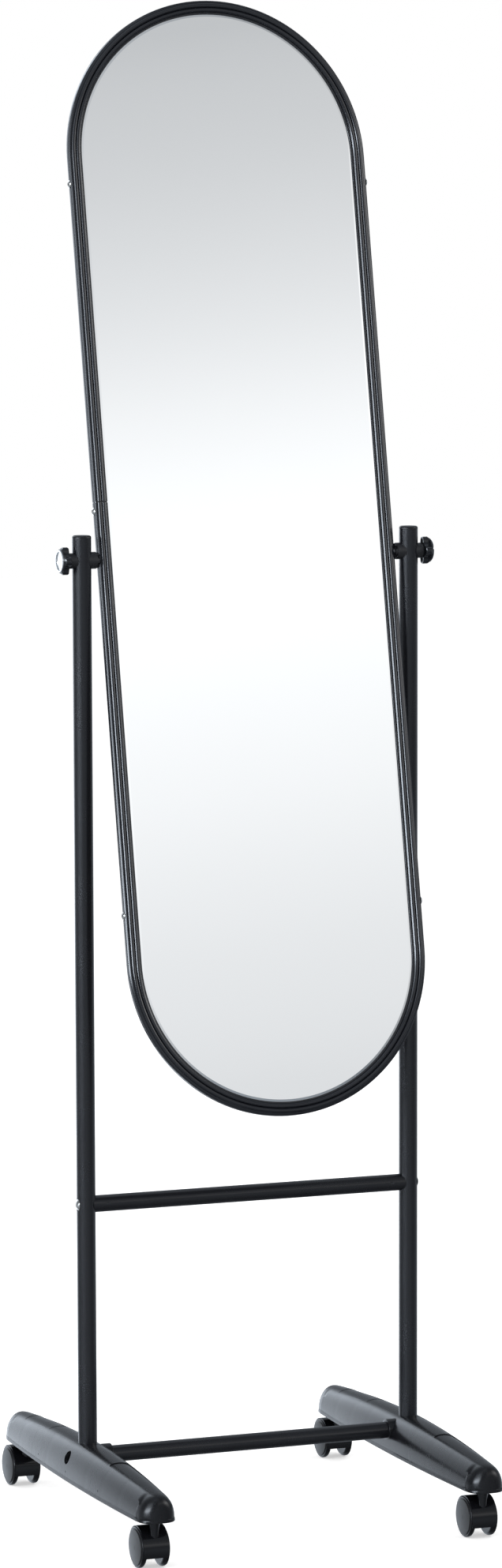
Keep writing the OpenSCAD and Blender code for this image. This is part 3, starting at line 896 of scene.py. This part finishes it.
    @staticmethod
    def close() -> None:
        """Leaves edit mode."""
        bpy.ops.object.mode_set(mode="OBJECT")

    @staticmethod
    def tidy(piece: Piece, gap: float = 0.001) -> None:
        """Merges doubles and turns all faces outward.

        Args:
            piece: The piece.
            gap: Merging distance.
        """
        Bench.open(piece)
        bpy.ops.mesh.select_all(action="SELECT")
        bpy.ops.mesh.remove_doubles(threshold=gap * MM)
        bpy.ops.mesh.normals_make_consistent(inside=False)
        Bench.close()

    @staticmethod
    def finish(piece: Piece, kind: str, **settings: Any) -> None:
        """Adds one modifier and applies it.

        Args:
            piece: The piece.
            kind: Blender's type of modifier.
            settings: The modifier's settings.
        """
        Bench.take(piece)
        modifier = piece.modifiers.new(kind.lower(), kind)
        for key, value in settings.items():
            setattr(modifier, key, value)
        bpy.ops.object.modifier_apply(modifier=modifier.name)

    @staticmethod
    def combine(piece: Piece, tools: Iterable[Piece], how: str = "DIFFERENCE") -> None:
        """Cuts with, joins or keeps what is common with each tool, and bins the tools.

        Args:
            piece: The piece that stays.
            tools: Closed meshes.
            how: DIFFERENCE, UNION or INTERSECT.
        """
        for tool in tools:
            Bench.finish(piece, "BOOLEAN", operation=how, object=tool, solver="EXACT")
            bpy.data.objects.remove(tool)

    @staticmethod
    def smooth(piece: Piece, angle: float) -> None:
        """Shades a piece smooth except over edges sharper than the angle."""
        Bench.take(piece)
        bpy.ops.object.shade_smooth_by_angle(angle=math.radians(angle))

    @staticmethod
    def copied(piece: Piece, name: str) -> Piece:
        """Copies a piece with its own mesh.

        Args:
            piece: The piece to copy.
            name: The copy's name.

        Returns:
            The copy.
        """
        twin = piece.copy()
        twin.data = piece.data.copy()
        twin.name = twin.data.name = name
        bpy.context.scene.collection.objects.link(twin)
        return twin

    @staticmethod
    def placed(piece: Piece, by: Point, flip: Point = (1, 1, 1)) -> Piece:
        """Mirrors a piece's mesh and then moves it.

        Args:
            piece: The piece.
            by: The move.
            flip: 1 or -1 along each axis.

        Returns:
            The piece.
        """
        Bench.open(piece)
        bpy.ops.mesh.select_all(action="SELECT")
        Bench.scale(*flip)
        Bench.move(*by)
        if math.prod(flip) < 0:
            bpy.ops.mesh.flip_normals()
        Bench.close()
        return piece


# ---------------------------------------------------------------- the object


@dataclass
class Foot:
    """A moulded foot: an arched hollow shell with ribs, sockets, crown pads and a collar."""

    palette: Palette
    spacing: float = 350.0
    length: float = 428.5
    width: float = 50.0
    bottom: float = 50.5
    crown: float = 88.0
    wall: float = 2.6
    lip_height: float = 3.2
    lip_out: float = 0.4
    nose: float = 19.5
    nose_step: float = 0.25
    nose_power: float = 2.8
    arch_power: float = 2.4
    plan_radius: float = 3300.0
    crown_radius: float = 2100.0
    row_step_deg: float = 5.0
    upright_radius: float = 9.5
    bar_radius: float = 8.5
    bar_height: float = 73.4
    stem_y: float = 194.4
    stem_radius: float = 3.05
    socket_radius: float = 6.2
    collar_wall: float = 2.5
    pad_half: float = 10.5
    pad_corner: float = 3.6
    pads: tuple[tuple[Point, Point], ...] = (((13.0, 88.5), (0.22, 0.22)), ((92.0, 165.0), (0.8, 0.2)))
    rib_half: float = 0.9
    rib_parts: tuple[float, ...] = (-0.77, -0.535, -0.3, 0.3, 0.535, 0.77)
    pin_marks: tuple[float, ...] = (-95, -2, 85)
    pin_radius: float = 0.9
    pin_height: float = 59.5
    access_radius: float = 6.6

    @property
    def base(self) -> float:
        """Height at which the arch stands on the lip."""
        return self.bottom + self.lip_height + 0.6

    @property
    def nose_y(self) -> float:
        """Where the rounded nose begins."""
        return self.length / 2 - self.nose

    def _rows(self, y: float, inset: float = 0.0) -> Outline:
        """Gives one side of the section, from the lower edge up to the apex.

        Args:
            y: Station along the foot.
            inset: How far inside the outer skin the section lies.

        Returns:
            Places (half width, height over the base), the apex last.
        """
        part = max(0.0, (y - self.nose_y) / self.nose)
        across = (1 - min(1.0, part) ** self.nose_power) ** (1 / self.nose_power)
        up = (1 - min(1.0, part) ** 5) ** 0.2
        step = self.nose_step if part > 0 else 0.0
        half = (self.width / 2 - y * y / (2 * self.plan_radius) - inset - step) * across
        rise = (self.crown - y * y / (2 * self.crown_radius) - self.base - 1.7 * inset) * up
        power = self.arch_power - 0.35 * min(1.0, y / self.nose_y)
        low = self.bottom - self.base
        if inset > 0:
            rows = [(half, low - 1.0)]
        else:
            out = half + self.lip_out
            rows = [(out - 0.1, low), (out + 0.3, low + 0.4), (out, low + 2.9)]
            rows += [(out - 0.2, low + self.lip_height), (half - 0.3, low + 3.45)]
        for index in range(round(90 / self.row_step_deg)):
            angle = math.radians(index * self.row_step_deg)
            rows.append((half * math.cos(angle) ** (2 / power), rise * math.sin(angle) ** (2 / power)))
        return rows + [(0.0, rise)]

    def _section(self, name: str, rows: Outline, lower: int) -> Piece:
        """Shapes a circle into the foot's middle section.

        Args:
            name: The piece's name.
            rows: The section at the middle.
            lower: How many rows lie under the arch.

        Returns:
            An open line of points in the plane Y = 0.
        """
        radius = self.width / 2
        piece = Bench.ring(name, radius, round(360 / self.row_step_deg), (0, 0, self.base), (90, 0, 0))
        Bench.open(piece)
        Bench.pick(piece, lambda p: p.z < self.base - 0.01)
        bpy.ops.mesh.delete(type="VERT")
        Bench.pick(piece, lambda p: p.z > self.base + radius - 0.01)
        Bench.move(0, 0, rows[-1][1] - radius)
        for step in range(len(rows) - lower - 2, -1, -1):
            angle = math.radians(step * self.row_step_deg)
            old = (radius * math.cos(angle), radius * math.sin(angle))
            new = rows[lower + step]
            Bench.pick(piece, lambda p: abs(p.z - self.base - old[1]) < 0.01)
            Bench.scale(new[0] / old[0], 1, new[1] / old[1] if step else 1, (0, 0, self.base))
        Bench.pick(piece, lambda p: p.z < self.base + 0.01)
        last = rows[lower]
        for row in reversed(rows[:lower]):
            Bench.push(0, 0, row[1] - last[1])
            Bench.scale(row[0] / last[0], 1, 1)
            last = row
        Bench.close()
        return piece

    def _body(self, name: str, stations: Sequence[float], inset: float = 0.0) -> Piece:
        """Draws the section out along both halves of the foot into a closed body.

        Args:
            name: The piece's name.
            stations: Places along Y, from 0 on.
            inset: How far inside the outer skin the body lies.

        Returns:
            The closed body on X = 0.
        """
        last = self._rows(stations[0], inset)
        piece = self._section(name, last, 1 if inset > 0 else 5)
        near = 0.004
        Bench.open(piece)
        bpy.ops.mesh.select_all(action="SELECT")
        for before, here in zip(stations, stations[1:]):
            Bench.push(0, here - before, 0)
            rows = self._rows(here, inset)
            for old, new in zip(last, rows):
                level = self.base + old[1]
                found = Bench.pick(piece, lambda p: abs(p.y - here) < near and abs(p.z - level) < near)
                if found and old != new:
                    wide = new[0] / old[0] if old[0] else 1.0
                    tall = new[1] / old[1] if abs(old[1]) > 0.001 else 1.0
                    Bench.scale(wide, 1, tall, (0, 0, self.base))
            Bench.pick(piece, lambda p: abs(p.y - here) < near)
            last = rows
        bpy.ops.mesh.edge_face_add()
        Bench.close()
        Bench.finish(piece, "MIRROR", use_axis=(False, True, False), merge_threshold=0.01 * MM)
        Bench.open(piece)
        low = self.base + last[0][1]
        Bench.pick(piece, lambda p: abs(p.z - low) < near)
        bpy.ops.mesh.edge_face_add()
        Bench.close()
        Bench.tidy(piece)
        return piece

    def _hollow(self) -> Piece:
        """Makes the hollow, less the sockets and ribs that stand in it.

        Returns:
            The closed tool.
        """
        middle = [self.nose_y * part for part in (0, 0.31, 0.565, 0.77)]
        hollow = self._body("hollow", middle + [self.nose_y - 12, self.nose_y + 6], self.wall + 0.4)
        low, high, stem = self.bottom + 1.2, self.crown, self.socket_radius
        inner = [
            Bench.rod("socket", radius, high - low, (0, y, (low + high) / 2))
            for y, radius in ((-self.stem_y, stem), (self.stem_y, stem), (0, self.upright_radius + 3))
        ]
        for part in self.rib_parts:
            y = part * self.stem_y
            first = (-self.width, y - self.rib_half, self.bottom + 3)
            inner.append(Bench.block("rib", first, (self.width, y + self.rib_half, high)))
        first = (-self.rib_half, -self.stem_y, self.bottom + 6)
        inner.append(Bench.block("spine", first, (self.rib_half, self.stem_y, high)))
        Bench.combine(hollow, inner)
        return hollow

    def _pad(self, skin: Piece, ends: Point, depths: Point, way: int) -> Piece:
        """Makes the tool that sinks one crown pad.

        Args:
            skin: The foot's closed outer body.
            ends: Inner and outer end along Y.
            depths: Depth at the inner and at the outer end.
            way: 1 for the back half and -1 for the front half.

        Returns:
            What is cut away.
        """
        start, end = ends
        pad = Bench.block("pad", (-self.pad_half, start, self.base), (self.pad_half, end, self.crown + 6))
        Bench.open(pad)
        Bench.pick_edges(pad, lambda a, b: abs(a.z - b.z) > 1 and a.y < start + 0.1)
        Bench.soften(self.pad_corner, 8)
        Bench.close()
        floor = Bench.copied(skin, "pad_floor")
        fall = (depths[0] - depths[1]) / (end - start)
        floor.location = Vector((0, 0, -depths[0] - fall * start)) * MM
        floor.rotation_euler = (math.atan(fall), 0, 0)
        Bench.take(floor)
        bpy.ops.object.transform_apply(location=True, rotation=True, scale=True)
        Bench.combine(pad, [floor])
        return Bench.placed(pad, (0, 0, 0), (1, way, 1))

    def _cuts(self) -> list[Piece]:
        """Makes the bores, the access hole and the pin marks of a right foot.

        Returns:
            The closed tools.
        """
        reach = self.width / 2
        beside = (reach / 2 + 2, 0, self.bar_height)
        cross = (0, 90, 0)
        tools = [
            Bench.rod("upright_bore", self.upright_radius + 0.05, 60, (0, 0, self.bottom + 38), points=96),
            Bench.rod("drain", self.upright_radius - 2.5, 20, (0, 0, self.bottom + 9)),
            Bench.rod("tongue_notch", 5, 10, (0, self.upright_radius - 1.6, self.crown + 1.8)),
            Bench.rod("bar_bore", self.bar_radius + 0.05, 30, (-15, 0, self.bar_height), cross, 96),
            Bench.rod("access_hole", self.access_radius, reach + 4, beside, cross, 64),
        ]
        for y in (-self.stem_y, self.stem_y):
            tools.append(Bench.rod("stem_bore", self.stem_radius, 22.8, (0, y, self.bottom + 10.4)))
        for y in self.pin_marks:
            mark = (self._rows(abs(y))[5][0] + 1.1, y, self.pin_height)
            tools.append(Bench.rod("pin_mark", self.pin_radius, 4, mark, cross, 24))
        return tools

    def build(self) -> None:
        """Builds both feet and puts them in their nodes' place."""
        middle = [self.nose_y * part for part in (0, 0.1, 0.2, 0.3, 0.4, 0.5, 0.6, 0.7, 0.8, 0.9, 0.97)]
        turns = (9, 18, 27, 36, 45, 54, 62, 69, 75, 80, 84)
        parts = (math.sin(math.radians(turn)) ** (2 / self.nose_power) for turn in turns)
        nose = [self.nose_y + self.nose * part for part in parts]
        foot = self._body("foot_shell", middle + [self.nose_y, self.nose_y + 0.25] + nose)
        skin = Bench.copied(foot, "foot_skin")
        pads = []
        for way in (-1, 1):
            pads += [self._pad(skin, ends, depths, way) for ends, depths in self.pads]
        bpy.data.objects.remove(skin)
        Bench.combine(foot, [self._hollow()])
        place = (-17.5, 0, self.bar_height)
        collar = Bench.rod("collar", self.bar_radius + self.collar_wall, 14, place, (0, 90, 0), 96)
        Bench.open(collar)
        Bench.pick(collar, lambda p: p.x < -24)
        Bench.soften(0.5, 3)
        Bench.close()
        Bench.combine(foot, [collar], "UNION")
        Bench.combine(foot, self._cuts() + pads)
        Bench.tidy(foot)
        left = Bench.placed(Bench.copied(foot, "foot_left"), (-self.spacing / 2, 0, 0), (-1, 1, 1))
        right = Bench.placed(foot, (self.spacing / 2, 0, 0))
        right.name = right.data.name = "foot_right"
        for piece, node in ((left, "left_foot"), (right, "right_foot")):
            Bench.smooth(piece, 32)
            self.palette.coat(Finish.FOOT, piece)
            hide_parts(node)
            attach(piece, "stand")
            LOG.info("%s has %d faces", piece.name, len(piece.data.polygons))


@dataclass
class Stand:
    """Uprights, crossbars, caps, bolts and the pivot spacers."""

    palette: Palette

    def dress(self) -> None:
        """Gives the stand's nodes their finishes."""
        dress = self.palette.dress
        dress(Finish.TUBE, "left_upright", "right_upright", "upper_crossbar", "lower_crossbar")
        dress(Finish.CAP, "left_cap", "right_cap")
        dress(Finish.NICKEL, "crossbar_bolts")
        dress(Finish.ZINC, "crossbar_inserts", "castor_stems")
        dress(Finish.SPACER, "left_inner_spacer", "right_inner_spacer")
        dress(Finish.SPACER, "left_outer_washer", "right_outer_washer")
        dress(Finish.FOOT, "left_foot", "right_foot")
        LOG.info("stand dressed")


@dataclass
class MirrorPanel:
    """The frame with its pane, board and inner fittings, drawn about the pivot and then leaned."""

    palette: Palette
    pivot_height: float = 978.0
    tilt_deg: float = 11.52
    half_width: float = 158.6
    straight: float = 403.15
    profile_width: float = 14.2
    back: float = 5.2
    back_radius: float = 3.5
    side_depth: float = 0.1
    bead_radius: float = 2.25
    beads: Stops = ((5.35, -3.7), (9.95, -3.6))
    wall: float = 1.2
    pane_front: float = -2.2
    pane_thickness: float = 3.0
    pane_inset: float = 7.4
    pane_bevel: float = 2.3
    pane_points: int = 144
    joint_height: float = 57.5
    joint_groove: float = 1.2
    screw_flat: float = 0.4
    screw_radius: float = 4.2
    thread_radius: float = 1.75
    pivot_radius: float = 3.3
    left_screws: tuple[float, ...] = (376.4, 48.4, -354.1)
    right_screws: tuple[float, ...] = (376.4, -354.1)
    bend_steps: int = 72

    def _arc(self, middle: Point, radius: float, start: float, end: float, step: float) -> Outline:
        """Gives points of an arc in the profile.

        Args:
            middle: Its centre, from the outer edge and through the depth.
            radius: Its radius.
            start: First angle in degrees; 0 points at the outer edge and 90 to the front.
            end: Last angle in degrees.
            step: Rough step in degrees.

        Returns:
            The points.
        """
        count = max(1, round(abs(end - start) / step))
        angles = [math.radians(start + (end - start) * i / count) for i in range(count + 1)]
        return [(middle[0] - radius * math.cos(a), middle[1] - radius * math.sin(a)) for a in angles]

    def _profile(self) -> Outline:
        """Gives the closed outline of the drawn channel, from the outer edge and through the depth.

        Returns:
            Its points; the first comes again as the last.
        """
        reach, front = self.profile_width, self.pane_front
        round_back = (self.back_radius, self.back - self.back_radius)
        first, second = self.beads
        back_end = reach - 0.6
        side = [(0.03, 0.6), (0.08, -0.8), (0.2, -2.0), (0.38, -2.82), (0.6, -3.02)]
        shoulder = [(1.7, -3.72), (2.7, -4.2), (2.95, -4.25), (3.08, -4.1)]
        valley = ((first[0] + second[0]) / 2, first[1] + 0.15)
        lip = [(12.35, -3.35), (12.7, -3.48), (13.85, -3.42), (14.08, -3.3), (reach, -3.05)]
        inside = [(reach, front), (reach - 1.8, front), (reach - 1.8, -2.5), (2.0, -2.5), (1.45, -1.9)]
        return [
            (back_end, self.back),
            *self._arc(round_back, self.back_radius, -90, 0, 6),
            *side,
            *shoulder,
            *self._arc(first, self.bead_radius, 6, 174, 8),
            valley,
            *self._arc(second, self.bead_radius, -2, 176, 8),
            *lip,
            *inside,
            *self._arc(round_back, self.back_radius - self.wall, 0, -90, 12),
            (back_end, self.back - self.wall),
            (back_end, self.back),
        ]

    def _upright(self, piece: Piece) -> Piece:
        """Leans a piece drawn about the pivot into the panel's place.

        Args:
            piece: The piece.

        Returns:
            The piece.
        """
        Bench.open(piece)
        bpy.ops.mesh.select_all(action="SELECT")
        lean = math.radians(self.tilt_deg)
        bpy.ops.transform.rotate(value=lean, orient_axis="X", center_override=(0.0, 0.0, 0.0))
        Bench.move(0, 0, self.pivot_height)
        Bench.close()
        return piece

    def _ring(self, name: str, outline: Outline) -> Piece:
        """Draws an outline up the left leg, around both bends and down the right leg.

        Args:
            name: The piece's name.
            outline: A closed outline, from the outer edge and through the depth.

        Returns:
            The closed ring.
        """
        start = [(across - self.half_width, depth, -self.straight) for across, depth in outline]
        ring = Bench.trace(name, start)
        for way in (1, -1):
            Bench.push(0, 0, 2 * way * self.straight)
            Bench.spin(-180, self.bend_steps, (0, 0, way * self.straight), (0, 1, 0))
        Bench.close()
        Bench.tidy(ring, 0.01)
        return ring

    def frame_piece(self) -> Piece:
        """Builds the reeded frame with its joint, screw seats and pivot holes.

        Returns:
            The frame in its place.
        """
        piece = self._ring("frame_profile", self._profile())
        edge, reach, cross = self.half_width, self.profile_width, (0, 90, 0)
        tools = []
        for way, places in ((-1, self.left_screws), (1, self.right_screws)):
            bore = way * (edge - 1)
            seat = way * (edge - self.screw_flat + 2)
            for z in places:
                hole, sunk = (bore, self.side_depth, z), (seat, self.side_depth, z)
                tools.append(Bench.rod("screw_hole", self.thread_radius, 10, hole, cross, 32))
                tools.append(Bench.rod("screw_seat", self.screw_radius, 4, sunk, cross, 64))
            tools.append(Bench.rod("pivot_hole", self.pivot_radius, 10, (bore, 0, 0), cross))
        middle, half = self.joint_height, self.joint_groove / 2
        outer, inner = -edge, -edge + reach
        groove = Bench.block("joint_groove", (outer - 2, -9, middle - half), (inner + 2, 9, middle + half))
        core = Bench.block("joint_core", (outer + 0.5, -3.9, middle - 4), (inner - 0.7, 4.4, middle + 4))
        Bench.open(core)
        Bench.pick_edges(core, lambda a, b: abs(a.z - b.z) > 1 and a.x < outer + 2)
        Bench.soften(2.6, 6)
        Bench.close()
        Bench.combine(groove, [core])
        Bench.combine(piece, tools + [groove])
        Bench.tidy(piece)
        return self._upright(piece)

    def pane_piece(self) -> Piece:
        """Builds the pane with its slanted rim.

        Returns:
            The pane in its place.
        """
        radius = self.half_width - self.pane_inset
        middle = self.pane_front + self.pane_thickness / 2
        turn = (90, 180 / self.pane_points, 0)
        piece = Bench.rod("pane", radius, self.pane_thickness, (0, middle, 0), turn, self.pane_points)
        Bench.open(piece)
        for way in (1, -1):
            Bench.pick(piece, lambda p: p.z * way > 0.01)
            Bench.move(0, 0, way * self.straight)
        Bench.pick_faces(piece, lambda middle, normal: normal.y < -0.9)
        bpy.ops.mesh.inset(thickness=(self.profile_width - self.pane_inset - 0.2) * MM)
        bpy.ops.mesh.inset(thickness=(self.pane_bevel + 0.2) * MM)
        Bench.move(0, -0.25, 0)
        Bench.close()
        Bench.smooth(piece, 1.0)
        return self._upright(piece)

    def build(self) -> None:
        """Puts the new frame and pane in their nodes' place."""
        frame_profile = self.frame_piece()
        pane = self.pane_piece()
        Bench.smooth(frame_profile, 28)
        for piece, node, slot, finish in (
            (frame_profile, "mirror_frame", "frame_black", Finish.FRAME),
            (pane, "mirror_glass", "mirror", Finish.MIRROR),
        ):
            self.palette.coat(finish, piece)
            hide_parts(node)
            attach(piece, "mirror")
            LOG.info("%s has %d faces", piece.name, len(piece.data.polygons))

    def dress(self) -> None:
        """Gives the panel's nodes their finishes."""
        dress = self.palette.dress
        dress(Finish.FRAME, "mirror_frame")
        dress(Finish.MIRROR, "mirror_glass")
        dress(Finish.BOARD, "backing_board")
        dress(Finish.ZINC, "left_joint_bar", "right_pivot_block", "retaining_blocks")
        dress(Finish.NICKEL, "frame_screws")
        LOG.info("mirror panel dressed")


@dataclass
class TiltKnobs:
    """The two clamping knobs and their bolts."""

    palette: Palette
    pivot_height: float = 978.0
    face_radius: float = 10.9
    rim_width: float = 1.5
    recess: float = 1.3

    def face_piece(self, side: int) -> None:
        """Builds a bright face with a raised rim and a sunk middle, in its node's place.

        Args:
            side: -1 for the left and 1 for the right.
        """
        hand = "left" if side < 0 else "right"
        node = f"{hand}_knob_face"
        low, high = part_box(node)
        ends = sorted((abs(low[0]) / MM, abs(high[0]) / MM))
        near, thick, outer = ends[0], ends[1] - ends[0], self.face_radius
        inner, floor = outer - self.rim_width, thick - self.recess
        disc = [(0, 0), (0, outer), (thick - 0.45, outer)]
        rim = [(thick - 0.2, outer - 0.08), (thick - 0.05, outer - 0.3), (thick, outer - 0.6)]
        rim += [(thick, inner + 0.35), (thick - 0.08, inner + 0.12), (thick - 0.3, inner)]
        dish = [(floor + 0.15, inner - 0.1), (floor, inner - 0.35), (floor + 0.12, inner * 0.6)]
        dish += [(floor + 0.18, inner * 0.3), (floor + 0.2, 0)]
        shape, height = disc + rim + dish, self.pivot_height
        points = [(side * (near + depth), radius, height) for depth, radius in shape]
        piece = Bench.trace(f"{node}_disc", points)
        Bench.spin(360, 96, (0, 0, self.pivot_height), (1, 0, 0))
        Bench.close()
        Bench.tidy(piece, 0.004)
        Bench.smooth(piece, 35)
        self.palette.coat(Finish.KNOB_FACE, piece)
        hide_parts(node)
        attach(piece, f"{hand}_knob")
        LOG.info("%s has %d faces", piece.name, len(piece.data.polygons))

    def dress(self) -> None:
        """Gives the knobs their finishes."""
        self.palette.dress(Finish.KNOB, "left_knob", "right_knob")
        self.palette.dress(Finish.KNOB_FACE, "left_knob_face", "right_knob_face")
        self.palette.dress(Finish.ZINC, "left_knob_bolt", "right_knob_bolt")
        LOG.info("knobs dressed")


@dataclass
class Castors:
    """The four twin-wheel castors."""

    palette: Palette
    corners: tuple[str, ...] = ("front_left", "front_right", "rear_left", "rear_right")

    def dress(self) -> None:
        """Gives each castor its finishes."""
        for corner in self.corners:
            self.palette.dress(Finish.HOOD, f"{corner}_hood")
            self.palette.dress(Finish.ZINC, f"{corner}_axle")
            for side in ("outer", "inner"):
                self.palette.dress(Finish.WHEEL, f"{corner}_{side}_wheel")
                self.palette.dress(Finish.WHEEL_FACE, f"{corner}_{side}_disc")
        LOG.info("castors dressed")


def main() -> None:
    """Builds the studio and the object's looks in order."""
    Studio().build()
    palette = Palette()
    Stand(palette).dress()
    Foot(palette).build()
    panel = MirrorPanel(palette)
    panel.dress()
    panel.build()
    knobs = TiltKnobs(palette)
    knobs.dress()
    knobs.face_piece(-1)
    knobs.face_piece(1)
    Castors(palette).dress()


if __name__ == "__main__":
    main()
